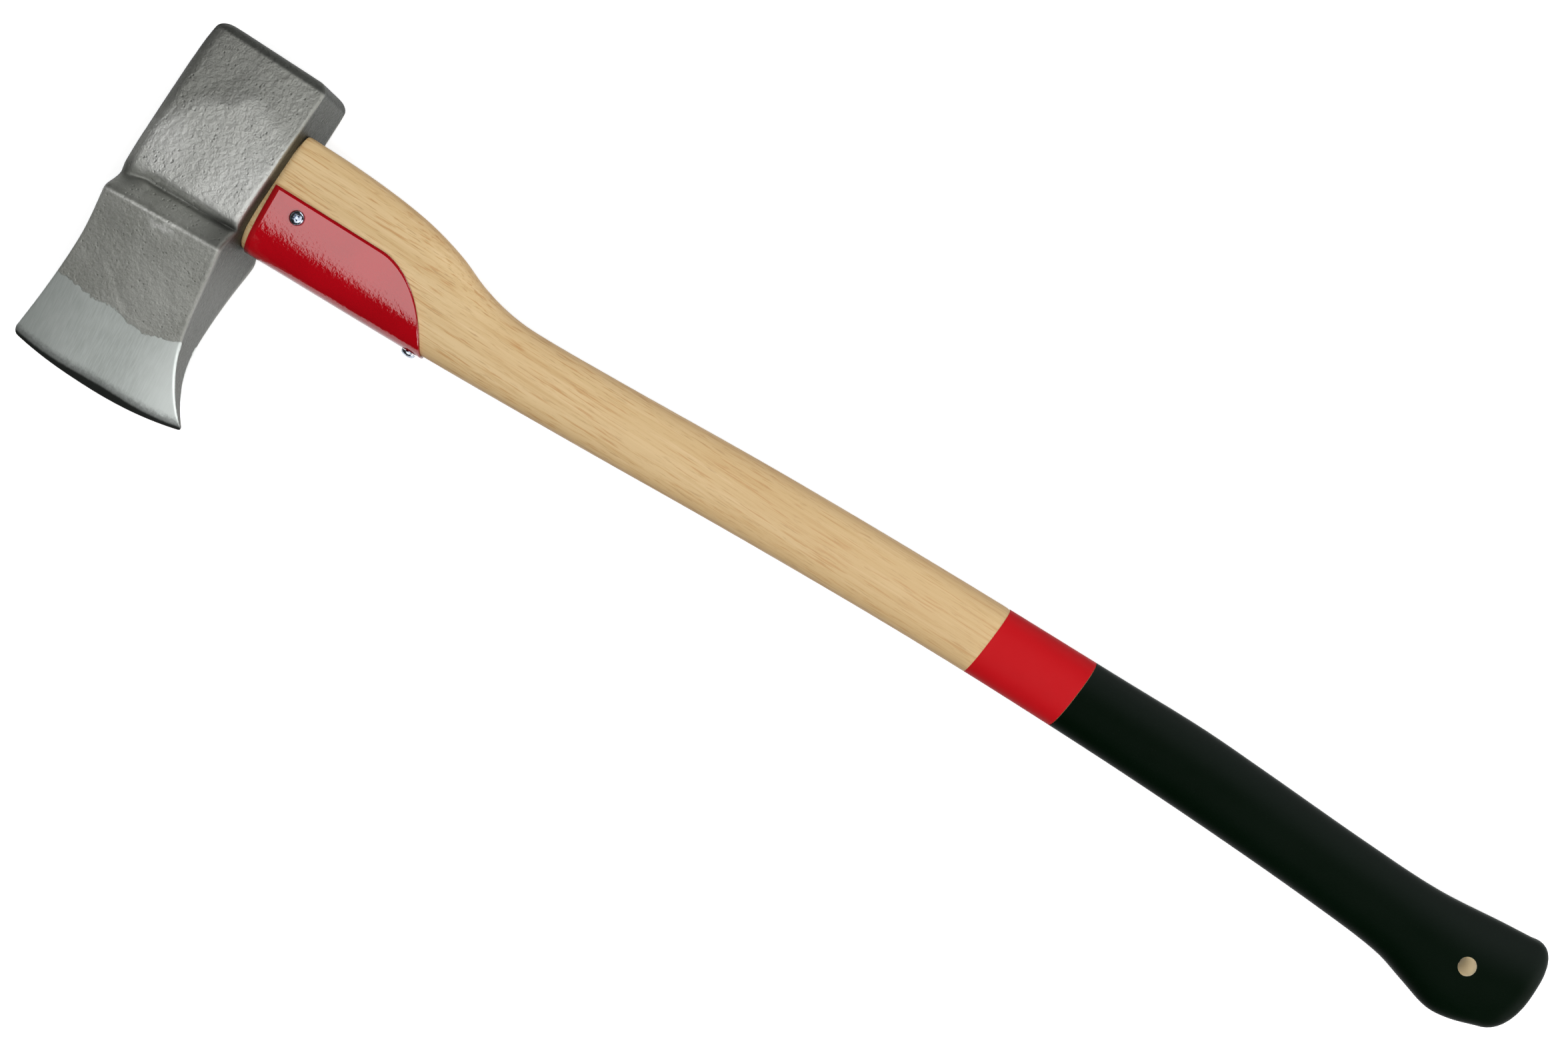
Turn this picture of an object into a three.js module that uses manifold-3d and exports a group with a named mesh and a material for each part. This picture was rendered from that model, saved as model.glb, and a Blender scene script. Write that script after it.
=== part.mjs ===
// A splitting maul: a forged steel head wedged onto a curved hickory handle. A painted steel
// guard is screwed over the belly of the handle below the head, and the grip is dip coated.
//
// Millimetres. The maul lies on its side: +X runs from the head to the butt of the handle, +Y from
// the cutting edge to the poll, and +Z up out of the upper cheek. Every piece is modelled level,
// round the centre of the eye. The finished group is then tilted to rest on its ridge, its poll
// and its butt, with the origin at the middle of its footprint.
import * as THREE from "three";
import { mergeVertices } from "three/addons/utils/BufferGeometryUtils.js";
import Module from "manifold-3d";

const wasm = await Module();
wasm.setup();

// ---- driving dimensions ----

const GAP = 0.3; // clearance between touching pieces
const BIG = 200; // reach of the cutting slabs, more than the section of any piece

// Side view of the head: where its top side and its underside lie at each height y.
const EDGE_Y = -129.2;
const HEAD_TOP = [
  [57, -30.6], [40, -32.3], [10, -32.9], [-22, -32.6], [-34, -31.1], [-50, -30.9], [-72, -32.1], [-100, -36.2],
  [-129, -41.2],
];
const HEAD_UNDER = [
  [57, 30.8], [9, 30.6], [-22, 30.3], [-40, 31.7], [-70, 33.2], [-88, 35.3], [-101, 39], [-116, 46.3], [-129, 54.6],
];
// Thickness of the head from poll to edge: [y, half thickness, inset from the side view's outline].
const HEAD_PROFILE = [
  [56.7, 20.5, 7], [55.8, 23, 3.2], [53.6, 25.2, 0.9], [50, 26, 0], // rounded rim of the striking face
  [-14, 26, 0], [-20, 25.3, 0], [-24, 23.8, 0], // flat cheeks round the eye, then a groove
  [-31, 28, 0], [-37, 32.2, 0], [-39.5, 33, 0], [-42, 32, 0], // raised ridge that spreads the wood
  [-60, 24, 0], [-75, 18.5, 0], [-90, 13, 0], [-102, 9, 0], [-112, 6, 0], [-119, 4, 0], // wedge
  [-124.6, 2.2, 0], [-129.2, 0.3, 0], // honed bevel
];
const HEAD_CORNER = 2; // radius of the long edges of the head
const BOW = 7; // how far the heel of the cutting edge curves back
const BOW_CENTRE = -1;
const BOW_REACH = 55.2;
const BOW_POWER = 2.3;
const BOW_FROM_Y = -40;

// The eye tapers: it is wider at the top of the head, where the wedges spread the handle.
const EYE_UNDER = { x: 31.5, halfLength: 28, halfWidth: 12 };
const EYE_TOP = { x: -33, halfLength: 30, halfWidth: 14 };
const EYE_ROUNDNESS = 2.8;

// The handle: outlines of its back and its belly, half thickness and section roundness along x.
const HANDLE_START = -34;
const SHOULDER_X = 31.2;
const HANDLE_BACK = [
  [31, 32.3], [60, 32.3], [85, 31], [105, 28.4], [124, 23.6], [140, 17.5], [156, 13.6], [172, 12.3], [214, 14.2],
  [312, 20.3], [409, 24.2], [506, 26.6], [551, 27.7], [585, 26.9], [649, 24.7], [690, 24.5], [726, 28.3], [741, 29.8],
];
const HANDLE_BELLY = [
  [31, -31], [131, -27.7], [215, -23.3], [312, -17.5], [410, -13.2], [507, -11.8], [585, -12.7], [650, -15.1],
  [682, -17.8], [700, -22.7], [716, -26.9], [728, -25.6], [741, -21.3],
];
const HANDLE_HALF_THICKNESS = [[31, 13.2], [110, 13.4], [180, 13], [550, 13.3], [650, 12.8], [741, 12]];
const HANDLE_ROUNDNESS = [[31, 3], [130, 2.5], [300, 2.3], [741, 2.4]];
const BUTT_X = 741; // where the butt starts to close
const BUTT_LENGTH = 14.5;
const BUTT_MIDDLE_Y = 8.2;
const BUTT_ROUNDNESS = 2.45;

// Dip coats on the lower half. Their upper rims lean, because the handle hangs askew in the bath.
const COAT = 0.5;
const BAND_X = 439;
const GRIP_X = 488.3;
const DIP_LEAN = THREE.MathUtils.degToRad(4.5);
const HANG_HOLE = { x: 717.7, y: 0.6, radius: 4.75 };

// Sheet steel guard over the belly.
const GUARD = { start: 32, sheet: 1, wingY: 3.9, wingEnd: [91.7, 4.9], tip: [133, -28] };
const GUARD_CURVE = [[105, 5.4], [123, -6]]; // control points from the wing's end to the tip

// Pan head screws that hold the guard: one in each wing and one in the belly.
const SCREW = { headRadius: 3.75, headHeight: 2.4, shankRadius: 1.75, recessLength: 4.4, recessWidth: 0.9, recessDepth: 1.4 };
const WING_SCREW = { x: 49.4, y: -4.3, length: 10.5 };
const BELLY_SCREW = { x: 126.5, length: 16 };

// The points that the maul rests on: the underside corners of its ridge and its poll, and its butt.
const REST = { cornerX: 31, ridge: [-39.5, 33], poll: [50, 26], buttX: 718, buttHalfThickness: 13.28 };

// Wedges that lock the head.
const KERF_DEPTH = 44;
const WOOD_WEDGE = { length: 42, halfWidth: 26, topThickness: 5.4, tipThickness: 1.4 };
const RING_WEDGE = { depth: 14, outerTop: 9, outerTip: 8, innerTop: 6.6, innerTip: 7.5 };

// ---- helpers ----

// Smooth curve y(x) through [x, y] points, for points in either order of x.
function curveThrough(points) {
  const p = [...points].sort((a, b) => a[0] - b[0]);
  const slope = p.map((_, i) => {
    const a = p[Math.max(0, i - 1)];
    const b = p[Math.min(p.length - 1, i + 1)];
    return (b[1] - a[1]) / (b[0] - a[0]);
  });
  return (x) => {
    const at = THREE.MathUtils.clamp(x, p[0][0], p[p.length - 1][0]);
    const i = Math.max(0, Math.min(p.length - 2, p.findIndex((q) => q[0] >= at) - 1));
    const width = p[i + 1][0] - p[i][0];
    const t = (at - p[i][0]) / width;
    const rise = p[i + 1][1] - p[i][1];
    const [m0, m1] = [slope[i] * width, slope[i + 1] * width];
    return p[i][1] + m0 * t + (3 * rise - 2 * m0 - m1) * t * t + (m0 + m1 - 2 * rise) * t * t * t;
  };
}

// Closed geometry through rings of points, one ring to the next, with a fan over each end.
function loft(rings) {
  const count = rings[0].length;
  const positions = rings.flat().flatMap((p) => [p.x, p.y, p.z]);
  const index = [];
  for (let r = 0; r < rings.length - 1; r++) {
    for (let k = 0; k < count; k++) {
      const a = r * count + k;
      const b = r * count + ((k + 1) % count);
      index.push(a, b, b + count, a, b + count, a + count);
    }
  }
  for (const [r, flip] of [[0, true], [rings.length - 1, false]]) {
    const middle = positions.length / 3;
    const centre = rings[r].reduce((sum, p) => sum.add(p), new THREE.Vector3()).divideScalar(count);
    positions.push(centre.x, centre.y, centre.z);
    for (let k = 0; k < count; k++) {
      const a = r * count + k;
      const b = r * count + ((k + 1) % count);
      index.push(middle, flip ? b : a, flip ? a : b);
    }
  }
  return new THREE.BufferGeometry()
    .setAttribute("position", new THREE.Float32BufferAttribute(positions, 3))
    .setIndex(index);
}

// A closed geometry as a solid that can be cut and joined.
function solidOf(geometry) {
  const bare = geometry.clone();
  bare.deleteAttribute("normal");
  bare.deleteAttribute("uv");
  const merged = mergeVertices(bare, 1e-4);
  return new wasm.Manifold(
    new wasm.Mesh({
      numProp: 3,
      vertProperties: merged.attributes.position.array,
      triVerts: new Uint32Array(merged.index.array),
    }),
  );
}

function geometryOf(solid) {
  const mesh = solid.getMesh();
  const geometry = new THREE.BufferGeometry()
    .setAttribute("position", new THREE.BufferAttribute(mesh.vertProperties, 3))
    .setIndex(new THREE.BufferAttribute(mesh.triVerts, 1));
  geometry.computeVertexNormals();
  return geometry;
}

// Points of a superellipse in the YZ plane at x.
function ovalRing(x, centreY, halfLength, halfWidth, roundness, count) {
  return Array.from({ length: count }, (_, k) => {
    const angle = (2 * Math.PI * k) / count;
    const [c, s] = [Math.cos(angle), Math.sin(angle)];
    const power = 2 / roundness;
    const y = centreY + halfLength * Math.sign(c) * Math.abs(c) ** power;
    const z = halfWidth * Math.sign(s) * Math.abs(s) ** power;
    return new THREE.Vector3(x, y, z);
  });
}

// Everything beyond a plane across the handle at x on its axis, leaning like the dip lines.
function beyond(x) {
  const slab = new THREE.BoxGeometry(4 * BIG, BIG, BIG).translate(2 * BIG, 0, 0);
  return solidOf(slab.rotateZ(-DIP_LEAN).translate(x, 6, 0));
}

function cylinder(radius, height, segments = 24) {
  return new THREE.CylinderGeometry(radius, radius, height, segments);
}

// ---- head ----

const LONG_SIDE_STEPS = 8;
const CORNER_STEPS = 3;

function headRing([y, halfThickness, inset], topAt, underAt) {
  const low = topAt(y) + inset;
  const high = underAt(y) - inset;
  const radius = Math.min(HEAD_CORNER, 0.45 * halfThickness);
  const bend = Math.max(0, (BOW_FROM_Y - y) / (BOW_FROM_Y - EDGE_Y));
  const outline = [];
  const corner = (x, z, from) => {
    for (let k = 0; k <= CORNER_STEPS; k++) {
      const angle = from + (k / CORNER_STEPS) * (Math.PI / 2);
      outline.push([x + radius * Math.cos(angle), z + radius * Math.sin(angle)]);
    }
  };
  const side = (fromX, toX, z) => {
    for (let k = 1; k < LONG_SIDE_STEPS; k++) outline.push([fromX + ((toX - fromX) * k) / LONG_SIDE_STEPS, z]);
  };
  const [left, right, inner] = [low + radius, high - radius, halfThickness - radius];
  corner(right, inner, 0);
  side(right, left, halfThickness);
  corner(left, inner, Math.PI / 2);
  corner(left, -inner, Math.PI);
  side(left, right, -halfThickness);
  corner(right, -inner, 1.5 * Math.PI);
  return outline.map(([x, z]) => {
    const bow = BOW * bend * bend * (Math.abs(x - BOW_CENTRE) / BOW_REACH) ** BOW_POWER;
    return new THREE.Vector3(x, y + bow, z);
  });
}

function eyeLoft(inset, fromX, toX) {
  const at = (x) => {
    const t = (x - EYE_TOP.x) / (EYE_UNDER.x - EYE_TOP.x);
    const halfLength = THREE.MathUtils.lerp(EYE_TOP.halfLength, EYE_UNDER.halfLength, t) - inset;
    const halfWidth = THREE.MathUtils.lerp(EYE_TOP.halfWidth, EYE_UNDER.halfWidth, t) - inset;
    return ovalRing(x, 0, halfLength, halfWidth, EYE_ROUNDNESS, 32);
  };
  return solidOf(loft([at(fromX), at(toX)]));
}

function makeHead() {
  const topAt = curveThrough(HEAD_TOP);
  const underAt = curveThrough(HEAD_UNDER);
  const body = solidOf(loft(HEAD_PROFILE.map((station) => headRing(station, topAt, underAt))));
  return body.subtract(eyeLoft(0, EYE_TOP.x - 5, EYE_UNDER.x + 5));
}

// ---- handle and its coats ----

const HANDLE_AROUND = 28;
const backAt = curveThrough(HANDLE_BACK);
const bellyAt = curveThrough(HANDLE_BELLY);
const halfThicknessAt = curveThrough(HANDLE_HALF_THICKNESS);
const roundnessAt = curveThrough(HANDLE_ROUNDNESS);

// Section of the handle at x, drawn in by inset; a negative inset stands proud of the wood.
function handleRing(x, inset) {
  const beyondButt = Math.max(0, (x - BUTT_X) / (BUTT_LENGTH - inset));
  const closing = (1 - Math.min(1, beyondButt) ** BUTT_ROUNDNESS) ** (1 / BUTT_ROUNDNESS);
  const middle = (backAt(x) + bellyAt(x)) / 2;
  const centre = THREE.MathUtils.lerp(middle, BUTT_MIDDLE_Y, Math.min(1, beyondButt));
  const halfDepth = ((backAt(x) - bellyAt(x)) / 2 - inset) * closing;
  return ovalRing(x, centre, halfDepth, (halfThicknessAt(x) - inset) * closing, roundnessAt(x), HANDLE_AROUND);
}

// Stations along the handle: closer where it swells and where the butt closes.
function handleStations(from, inset) {
  const stations = [];
  let x = from;
  while (x < BUTT_X - 4) {
    stations.push(x);
    x += x < 180 || x > 670 ? 9 : 24;
  }
  for (const t of [0, 0.35, 0.6, 0.8, 0.93, 0.985]) stations.push(BUTT_X + t * (BUTT_LENGTH - inset));
  return stations;
}

function handleLoft(inset, from) {
  return solidOf(loft(handleStations(from, inset).map((x) => handleRing(x, inset))));
}

const hangHole = solidOf(
  cylinder(HANG_HOLE.radius, BIG).rotateX(Math.PI / 2).translate(HANG_HOLE.x, HANG_HOLE.y, 0),
);
const fullHandle = handleLoft(0, SHOULDER_X);

function makeHandle() {
  const bare = fullHandle.subtract(beyond(BAND_X));
  const coated = handleLoft(COAT + GAP, SHOULDER_X + 10);
  const tenon = eyeLoft(GAP, HANDLE_START, SHOULDER_X + 5);
  const kerf = woodWedgeBlank(KERF_DEPTH, GAP);
  let handle = tenon.add(bare).add(coated).subtract(hangHole).subtract(kerf).subtract(ringWedgeBlank(GAP));
  for (const { place, length } of screwPlacements()) handle = handle.subtract(solidOf(place(screwHole(length))));
  return handle;
}

function makeBand() {
  const skin = fullHandle.subtract(handleLoft(COAT, SHOULDER_X));
  return skin.intersect(beyond(BAND_X + GAP)).subtract(beyond(GRIP_X));
}

function makeGripCoat() {
  return fullHandle
    .intersect(beyond(GRIP_X + GAP))
    .subtract(handleLoft(COAT, SHOULDER_X))
    .subtract(hangHole);
}

// ---- wedges ----

// Wooden wedge in the kerf, along the long axis of the eye, thickened by grow on each face.
function woodWedgeBlank(length, grow) {
  const top = HANDLE_START - (grow ? 5 : 0);
  const tip = HANDLE_START + length;
  const taper = (WOOD_WEDGE.topThickness - WOOD_WEDGE.tipThickness) / WOOD_WEDGE.length;
  const halfAt = (x) => (WOOD_WEDGE.topThickness - taper * (x - HANDLE_START)) / 2 + grow;
  const section = (x) => {
    const [width, half] = [WOOD_WEDGE.halfWidth + (grow ? BIG : 0), halfAt(x)];
    return [[width, half], [-width, half], [-width, -half], [width, -half]].map(([y, z]) => new THREE.Vector3(x, y, z));
  };
  return solidOf(loft([section(top), section(tip)]));
}

// Steel ring wedge, driven across the wooden one, thickened by grow on each face.
function ringWedgeBlank(grow) {
  const { depth, outerTop, outerTip, innerTop, innerTip } = RING_WEDGE;
  const [top, tip] = [grow ? -5 : 0, depth + grow];
  const profile = [
    [innerTop - grow, top], [outerTop + grow, top], [outerTip + grow, tip], [innerTip - grow, tip], [innerTop - grow, top],
  ];
  const ring = new THREE.LatheGeometry(profile.map(([r, y]) => new THREE.Vector2(r, y)), 32);
  return solidOf(ring.rotateZ(-Math.PI / 2).translate(HANDLE_START, 0, 0));
}

function makeWoodWedge() {
  return woodWedgeBlank(WOOD_WEDGE.length, 0).subtract(ringWedgeBlank(GAP));
}

// ---- guard ----

function makeGuard() {
  const { start, sheet, wingY, wingEnd, tip } = GUARD;
  const stations = [start - 5];
  for (let x = start; x < tip[0] + 12; x += 7) stations.push(x);
  const shell = (offset) => solidOf(loft(stations.map((x) => handleRing(x, -offset))));
  const belowBelly = tip[1] - 12;
  const outline = new THREE.Shape()
    .moveTo(start, wingY)
    .lineTo(...wingEnd)
    .bezierCurveTo(...GUARD_CURVE[0], ...GUARD_CURVE[1], ...tip)
    .lineTo(tip[0], belowBelly)
    .lineTo(start, belowBelly);
  const sideView = new THREE.ExtrudeGeometry(outline, { depth: BIG, bevelEnabled: false, curveSegments: 14 });
  let guard = shell(GAP + sheet).subtract(shell(GAP)).intersect(solidOf(sideView.translate(0, 0, -BIG / 2)));
  for (const { place, length } of screwPlacements()) guard = guard.subtract(solidOf(place(screwHole(length))));
  return guard;
}

// ---- screws ----

// Clearance hole for a screw that stands on the XZ plane with its shank down along -Y.
function screwHole(length) {
  const [below, above] = [length + GAP, 1];
  return cylinder(SCREW.shankRadius + GAP, below + above, 16).translate(0, (above - below) / 2, 0);
}

function makeScrew(length) {
  const { headRadius, headHeight, shankRadius, recessLength, recessWidth, recessDepth } = SCREW;
  const profile = [
    [0, -length], [0.5, -length], [shankRadius, -length + 3], [shankRadius, 0], [headRadius, 0],
    [headRadius, 0.35 * headHeight], [0.86 * headRadius, 0.72 * headHeight], [0.5 * headRadius, 0.95 * headHeight],
    [0, headHeight],
  ];
  let screw = solidOf(new THREE.LatheGeometry(profile.map(([r, y]) => new THREE.Vector2(r, y)), 24));
  for (const turn of [Math.PI / 4, -Math.PI / 4]) {
    const slot = new THREE.BoxGeometry(recessLength, 2 * recessDepth, recessWidth).rotateY(turn);
    screw = screw.subtract(solidOf(slot.translate(0, headHeight, 0)));
  }
  return screw;
}

// The three screws: how long each is, and a function that moves a geometry to its place.
function screwPlacements() {
  const seat = 2 * GAP + GUARD.sheet; // screw heads bear on the outside of the guard
  const wingZ = wingSurfaceZ() + seat;
  const bellyY = bellyAt(BELLY_SCREW.x) - seat;
  const wing = (side) => (g) => g.rotateX((side * Math.PI) / 2).translate(WING_SCREW.x, WING_SCREW.y, side * wingZ);
  const belly = (g) => g.rotateX(Math.PI).translate(BELLY_SCREW.x, bellyY, 0);
  return [
    { name: "guard_screw_upper", length: WING_SCREW.length, place: wing(1) },
    { name: "guard_screw_lower", length: WING_SCREW.length, place: wing(-1) },
    { name: "guard_screw_belly", length: BELLY_SCREW.length, place: belly },
  ];
}

function wingSurfaceZ() {
  const x = WING_SCREW.x;
  const centre = (backAt(x) + bellyAt(x)) / 2;
  const share = Math.abs(WING_SCREW.y - centre) / ((backAt(x) - bellyAt(x)) / 2);
  return halfThicknessAt(x) * (1 - share ** roundnessAt(x)) ** (1 / roundnessAt(x));
}

// ---- materials and assembly ----

const material = (color, metalness, roughness) => new THREE.MeshStandardMaterial({ color, metalness, roughness });
const forgedSteel = material(0x8a8c86, 0.9, 0.55);
const hickory = material(0xd9bd8c, 0, 0.55);
const beech = material(0xc9a06a, 0, 0.6);
const redEnamel = material(0xb30a18, 0, 0.15);
const redLacquer = material(0xc21c20, 0, 0.45);
const blackLacquer = material(0x15191a, 0, 0.45);
const zinc = material(0xc8ccd2, 1, 0.25);
const wedgeSteel = material(0x9a9c9e, 1, 0.4);

const pieces = [
  ["head", geometryOf(makeHead()), forgedSteel],
  ["handle", geometryOf(makeHandle()), hickory],
  ["red_band", geometryOf(makeBand()), redLacquer],
  ["grip_coat", geometryOf(makeGripCoat()), blackLacquer],
  ["wooden_wedge", geometryOf(makeWoodWedge()), beech],
  ["ring_wedge", geometryOf(ringWedgeBlank(0)), wedgeSteel],
  ["handle_guard", geometryOf(makeGuard()), redEnamel],
  ...screwPlacements().map(({ name, length, place }) => [name, place(geometryOf(makeScrew(length))), zinc]),
];

const maul = new THREE.Group();
for (const [name, geometry, finish] of pieces) {
  const mesh = new THREE.Mesh(geometry, finish);
  mesh.name = name;
  maul.add(mesh);
}

// Roll until the ridge and the poll touch the ground together, then pitch until the butt does.
const roll = -Math.atan2(REST.ridge[1] - REST.poll[1], REST.poll[0] - REST.ridge[0]);
const cornerDrop = REST.ridge[1] * Math.cos(roll) + REST.ridge[0] * Math.sin(-roll);
const pitch = Math.atan2(cornerDrop - REST.buttHalfThickness, REST.buttX - REST.cornerX);
maul.rotation.set(roll, pitch, 0, "YXZ");

const footprint = new THREE.Box3().setFromObject(maul, true);
const middle = footprint.getCenter(new THREE.Vector3());
maul.position.set(-middle.x, -middle.y, -footprint.min.z);

export default maul;
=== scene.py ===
"""A splitting maul around its CAD model: forged head, hickory handle, coats, guard and fastenings.

Sizes are in millimetres in the maul's own frame, which is centred on the eye: +X runs along the eye
towards the handle, +Y from the cutting edge to the poll and +Z out of the upper cheek. place() turns
a finished mesh into the frame of the CAD model, where the maul lies tilted on the floor, in metres.
"""

import math

import bpy
import numpy as np
from mathutils import Matrix, Vector, noise


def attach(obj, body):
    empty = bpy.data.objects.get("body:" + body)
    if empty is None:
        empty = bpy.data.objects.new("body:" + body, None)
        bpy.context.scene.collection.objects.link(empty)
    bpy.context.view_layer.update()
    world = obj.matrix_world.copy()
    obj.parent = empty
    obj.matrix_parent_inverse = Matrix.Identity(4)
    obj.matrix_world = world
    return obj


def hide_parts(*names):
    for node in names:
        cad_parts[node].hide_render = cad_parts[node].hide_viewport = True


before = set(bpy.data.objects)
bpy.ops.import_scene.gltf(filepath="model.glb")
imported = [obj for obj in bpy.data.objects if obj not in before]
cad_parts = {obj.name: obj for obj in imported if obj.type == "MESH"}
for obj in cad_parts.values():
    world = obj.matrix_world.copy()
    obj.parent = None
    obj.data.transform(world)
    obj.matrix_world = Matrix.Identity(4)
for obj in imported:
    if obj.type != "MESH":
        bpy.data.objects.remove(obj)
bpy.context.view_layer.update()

MM = 0.001
BODY = "root"

# ---------------- where the maul lies

RIDGE_CORNER = (-39.5, 33.0)  # y and half thickness at the ridge, which touches the floor
POLL_CORNER = (50.0, 26.0)  # the same at the poll, which touches it too
CORNER_X = 31.0
BUTT_TOUCH = (718.0, 13.28)  # x and half thickness where the butt touches
WING_SCREW = (49.4, -4.3, 10.5)  # x, y and length of each of the two screws in the guard's wings

ROLL = -math.atan2(RIDGE_CORNER[1] - POLL_CORNER[1], POLL_CORNER[0] - RIDGE_CORNER[0])
CORNER_DROP = RIDGE_CORNER[1] * math.cos(ROLL) - RIDGE_CORNER[0] * math.sin(ROLL)
PITCH = math.atan2(CORNER_DROP - BUTT_TOUCH[1], BUTT_TOUCH[0] - CORNER_X)
TILT = Matrix.Rotation(PITCH, 4, "Y") @ Matrix.Rotation(ROLL, 4, "X")


def vertex_mean(node):
    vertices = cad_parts[node].data.vertices
    return sum((v.co for v in vertices), Vector()) / len(vertices)


SCREWS_MIDDLE = (vertex_mean("guard_screw_upper") + vertex_mean("guard_screw_lower")) / 2
EYE_CENTRE = SCREWS_MIDDLE - TILT @ (Vector((*WING_SCREW[:2], 0.0)) * MM)
TO_FRAME = Matrix.Translation(EYE_CENTRE) @ TILT


def place(point):
    """A point of the maul's own frame, in millimetres, as a point of the CAD frame, in metres."""
    return TO_FRAME @ (Vector(point) * MM)


# ---------------- camera

VIEW_POINT = (325.2, 0.6, 0.0)  # what the camera looks at, on the maul's middle plane
VIEW_DISTANCE = 1000.0
VIEW_TURN = math.radians(33.03)  # how far +X points below the picture's right
LENS, SENSOR_WIDTH = 47.1, 36.0
CLIP_START, CLIP_END = 0.05, 200.0  # metres


def make_camera():
    camera = bpy.data.objects.new("camera", bpy.data.cameras.new("camera"))
    bpy.context.scene.collection.objects.link(camera)
    camera.data.lens = LENS
    camera.data.sensor_width = SENSOR_WIDTH
    camera.data.clip_start = CLIP_START
    camera.data.clip_end = CLIP_END
    eye = (VIEW_POINT[0], VIEW_POINT[1], VIEW_DISTANCE)
    turn = TILT @ Matrix.Rotation(VIEW_TURN, 4, "Z")
    camera.matrix_world = Matrix.Translation(place(eye)) @ turn
    bpy.context.scene.camera = camera


make_camera()

# ---------------- curves and meshes


def curve_through(points):
    """Smooth y(x) through [x, y] points, by the same cubic pieces as the CAD model."""
    p = np.array(sorted(points), float)
    x, y = p[:, 0], p[:, 1]
    before = np.maximum(np.arange(len(x)) - 1, 0)
    after = np.minimum(np.arange(len(x)) + 1, len(x) - 1)
    slope = (y[after] - y[before]) / (x[after] - x[before])

    def value(at):
        a = np.clip(np.asarray(at, float), x[0], x[-1])
        i = np.clip(np.searchsorted(x, a) - 1, 0, len(x) - 2)
        width = x[i + 1] - x[i]
        t = (a - x[i]) / width
        rise = y[i + 1] - y[i]
        m0, m1 = slope[i] * width, slope[i + 1] * width
        return y[i] + m0 * t + (3 * rise - 2 * m0 - m1) * t**2 + (m0 + m1 - 2 * rise) * t**3

    return value


def smoothstep(low, high, value):
    """0 at low to 1 at high, whichever of them is greater."""
    t = np.clip((np.asarray(value, float) - low) / (high - low), 0, 1)
    return t * t * (3 - 2 * t)


def bell(*offsets):
    """1 where every offset is 0, fading evenly to either side over an offset of about 1."""
    return np.exp(-sum(np.square(offset) for offset in offsets))


def fractal(points, scale, octaves, seed):
    """Smooth noise of about -1 to 1 at each point, with features of about scale millimetres."""
    offset = Vector((seed, seed * 1.7, seed * 0.6))
    out = np.empty(len(points))
    for i, p in enumerate(points):
        q = Vector(p) / scale + offset
        out[i] = noise.fractal(q, 0.9, 2.1, octaves, noise_basis="PERLIN_ORIGINAL")
    return out


def all_round(count):
    """Angles of a full turn, in even steps."""
    return np.linspace(0, 2 * math.pi, count, endpoint=False)


def circle(radius, z, angle, centre=(0, 0)):
    """Points round Z at the given angles; the radius is one number or one for each angle."""
    x, y = centre[0] + radius * np.cos(angle), centre[1] + radius * np.sin(angle)
    return np.column_stack([x, y, np.full(len(angle), z)])


def grid_faces(rows, columns):
    """Quads over a grid of rows of points, each row closed on itself."""
    faces = []
    for r in range(rows - 1):
        for k in range(columns):
            a = r * columns + k
            b = r * columns + (k + 1) % columns
            faces.append((a, b, b + columns, a + columns))
    return faces


def loft(rings):
    """Vertices and faces of a solid through rings of points, closed with a fan over each end."""
    rows, columns = len(rings), len(rings[0])
    points = np.concatenate(rings)
    faces = grid_faces(rows, columns)
    start = len(points)
    ends = np.array([rings[0].mean(0), rings[-1].mean(0)])
    last = (rows - 1) * columns
    for k in range(columns):
        n = (k + 1) % columns
        faces.append((start, n, k))
        faces.append((start + 1, last + k, last + n))
    return np.concatenate([points, ends]), faces


# A box of eight points: four round its first end, then four round its other end.
BOX_FACES = [(0, 3, 2, 1), (4, 5, 6, 7)] + [(i, (i + 1) % 4, (i + 1) % 4 + 4, i + 4) for i in range(4)]


def make_object(name, points, faces, smooth_angle=None):
    """A mesh object in the maul's own frame, still in millimetres."""
    mesh = bpy.data.meshes.new(name)
    mesh.from_pydata([tuple(p) for p in points], [], faces)
    mesh.update()
    piece = bpy.data.objects.new(name, mesh)
    bpy.context.scene.collection.objects.link(piece)
    shade(piece, smooth_angle)
    return piece


def shade(piece, smooth_angle):
    """Smooth shading, with edges over the angle left sharp; None leaves every face smooth."""
    mesh = piece.data
    mesh.polygons.foreach_set("use_smooth", [True] * len(mesh.polygons))
    if smooth_angle is not None:
        mesh.set_sharp_from_angle(angle=math.radians(smooth_angle))


def vertices_of(piece):
    out = np.empty(len(piece.data.vertices) * 3)
    piece.data.vertices.foreach_get("co", out)
    return out.reshape(-1, 3)


def apply_modifier(piece, kind, **settings):
    """Makes what a modifier does part of the mesh."""
    modifier = piece.modifiers.new(kind.lower(), kind)
    for key, value in settings.items():
        setattr(modifier, key, value)
    bpy.context.view_layer.update()
    evaluated = piece.evaluated_get(bpy.context.evaluated_depsgraph_get())
    mesh = bpy.data.meshes.new_from_object(evaluated)
    piece.modifiers.clear()
    old = piece.data
    piece.data = mesh
    bpy.data.meshes.remove(old)


def combine(piece, other, operation):
    """A boolean with another solid, which is used up."""
    apply_modifier(piece, "BOOLEAN", operation=operation, object=other, solver="EXACT")
    bpy.data.objects.remove(other)


def cut(piece, *cutters):
    for cutter in cutters:
        combine(piece, cutter, "DIFFERENCE")


def mark(piece, name, values):
    """Stores a number for each vertex, which a material reads by name."""
    attribute = piece.data.attributes.new(name, "FLOAT", "POINT")
    attribute.data.foreach_set("value", np.asarray(values, np.float32))


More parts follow.
